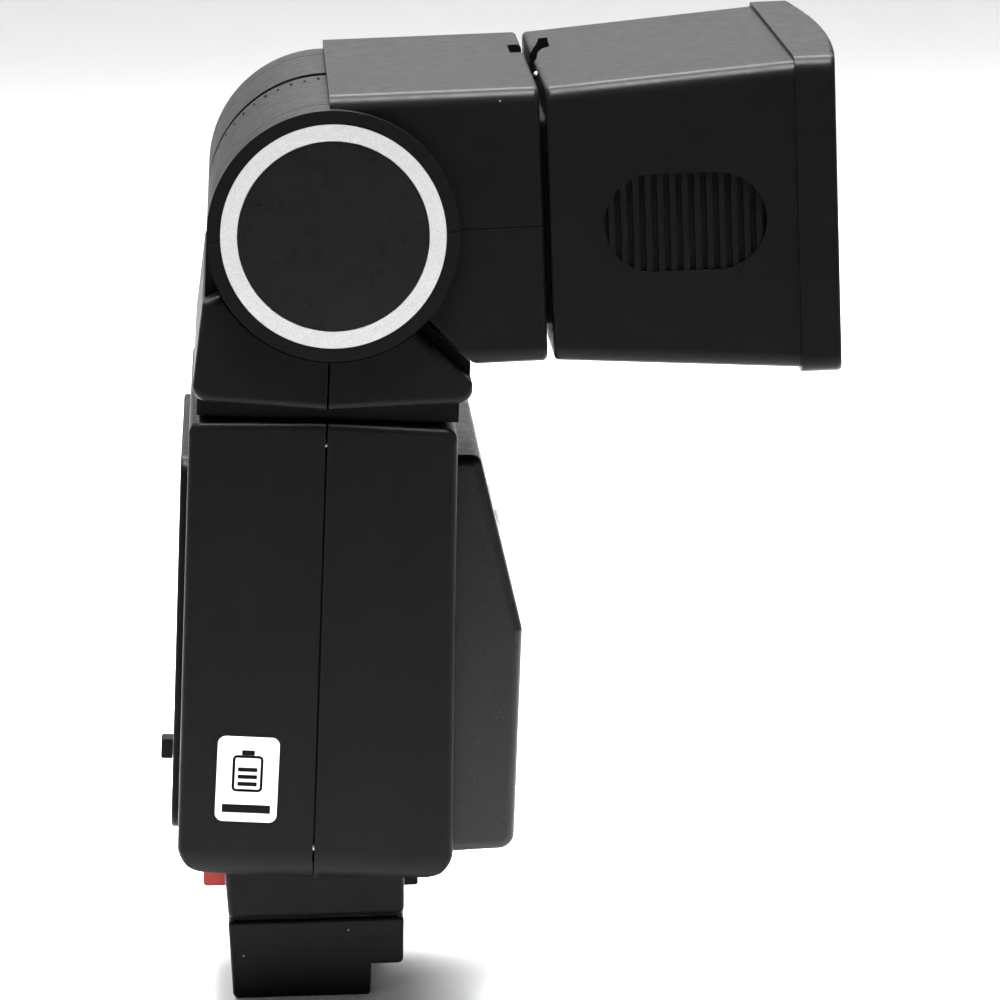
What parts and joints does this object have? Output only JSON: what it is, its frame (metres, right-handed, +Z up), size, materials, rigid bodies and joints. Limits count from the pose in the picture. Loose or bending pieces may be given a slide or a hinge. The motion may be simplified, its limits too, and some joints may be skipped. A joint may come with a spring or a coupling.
{
  "type": "speedlight flash",
  "caption": "Compact camera flash: leaning battery body on a locking shoe foot, swivel yoke, tilting head and pull-out zoom front.",
  "frame": {"origin": "middle of the foot's underside, where the camera's shoe enters", "axes": "+X the way the lamp points, +Y the flash's left, +Z up, square to the foot's underside"},
  "size_m": [0.1042, 0.0746, 0.147],
  "materials": {
    "black_plastic": "fine matte texture, moulded",
    "smooth_black_plastic": "smooth satin, moulded",
    "dull_black_plastic": "plain matte",
    "silver_trim": "fine blasted grain",
    "white_sticker": "printed film",
    "card": "printed grid",
    "red_plastic": "moulded",
    "red_glass": "smoked red, ribbed behind",
    "amber_glass": "clear orange",
    "clear_glass": "clear",
    "lens_plastic": "clear, ribbed",
    "steel": "plain machined",
    "contact_metal": "plated",
    "polished_reflector": "bright polished",
    "circuit_board": "lacquered",
    "cell_sleeve": "shrunk film",
    "capacitor_sleeve": "shrunk film",
    "winding": "taped coil",
    "rubber_grommet": "plain"
  },
  "bodies": {
    "base": {"body_rear_shell": "black_plastic", "body_front_shell": "black_plastic", "body_screws": "steel", "rear_panel": "black_plastic", "exposure_card": "card", "ready_lamp": "amber_glass", "door_pin": "steel", "battery_cells": "cell_sleeve", "battery_cage": "dull_black_plastic", "battery_contacts": "contact_metal", "main_board": "circuit_board", "main_capacitor": "capacitor_sleeve", "transformer": "winding", "bearing_ring": "dull_black_plastic", "front_housing": "smooth_black_plastic", "red_window": "red_glass", "sensor_lens": "clear_glass", "rating_label": "white_sticker", "foot_block": "black_plastic", "shoe_foot": "black_plastic", "shoe_contacts": "contact_metal", "foot_screws": "steel"},
    "power_switch": {"power_switch": "black_plastic"},
    "mode_switch": {"mode_switch": "black_plastic"},
    "test_button": {"test_button": "dull_black_plastic"},
    "battery_door": {"battery_door": "black_plastic"},
    "shoe_release": {"shoe_release": "red_plastic"},
    "lock_pin": {"lock_pin": "steel"},
    "swivel": {"yoke_rear_shell": "black_plastic", "yoke_front_shell": "black_plastic", "swivel_collar": "dull_black_plastic", "swivel_hub": "steel", "hub_nut": "steel", "tilt_axle_left": "steel", "tilt_axle_right": "steel", "detent_plate": "steel"},
    "head": {"head_upper_shell": "black_plastic", "head_lower_shell": "black_plastic", "hinge_ring_left": "silver_trim", "hinge_ring_right": "silver_trim", "hinge_cap_left": "smooth_black_plastic", "hinge_cap_right": "smooth_black_plastic", "lamp_carrier": "dull_black_plastic", "reflector": "polished_reflector", "flash_tube": "clear_glass", "tube_grommets": "rubber_grommet", "trigger_board": "circuit_board", "head_screws": "steel"},
    "zoom_head": {"zoom_housing": "black_plastic", "front_bezel": "black_plastic", "fresnel_lens": "lens_plastic", "zoom_detent": "steel"}
  },
  "joints": [
    {"name": "head_swivel", "type": "hinge", "parent": "base", "child": "swivel", "pos_m": [0.00399, 0, 0.09544], "axis": [0.0558, 0, 0.9984], "range_deg": [-90, 180]},
    {"name": "head_tilt", "type": "hinge", "parent": "swivel", "child": "head", "pos_m": [0.00549, 0, 0.1223], "axis": [0, -1, 0], "range_deg": [0, 90]},
    {"name": "zoom_pull", "type": "slide", "parent": "head", "child": "zoom_head", "axis": [0.9998, 0, 0.0175], "range_m": [0, 0.012]},
    {"name": "power_switch_slide", "type": "slide", "parent": "base", "child": "power_switch", "axis": [0, 1, 0], "range_m": [0, 0.004]},
    {"name": "mode_switch_slide", "type": "slide", "parent": "base", "child": "mode_switch", "axis": [0, 1, 0], "range_m": [-0.004, 0.004]},
    {"name": "test_button_press", "type": "slide", "parent": "base", "child": "test_button", "axis": [0.9984, 0, -0.0558], "range_m": [0, 0.0006], "stiffness_N_per_m": 180},
    {"name": "battery_door_hinge", "type": "hinge", "parent": "base", "child": "battery_door", "pos_m": [0.00042, 0.0338, 0.03164], "axis": [-0.9984, 0, 0.0558], "range_deg": [0, 90]},
    {"name": "shoe_release_press", "type": "slide", "parent": "base", "child": "shoe_release", "axis": [1, 0, 0], "range_m": [0, 0.002], "stiffness_N_per_m": 180},
    {"name": "lock_pin_lift", "type": "slide", "parent": "base", "child": "lock_pin", "axis": [0, 0, 1], "range_m": [0, 0.0016]}
  ],
  "couplings": [
    {"joint": "lock_pin_lift", "follows": "shoe_release_press", "ratio": 0.8}
  ]
}
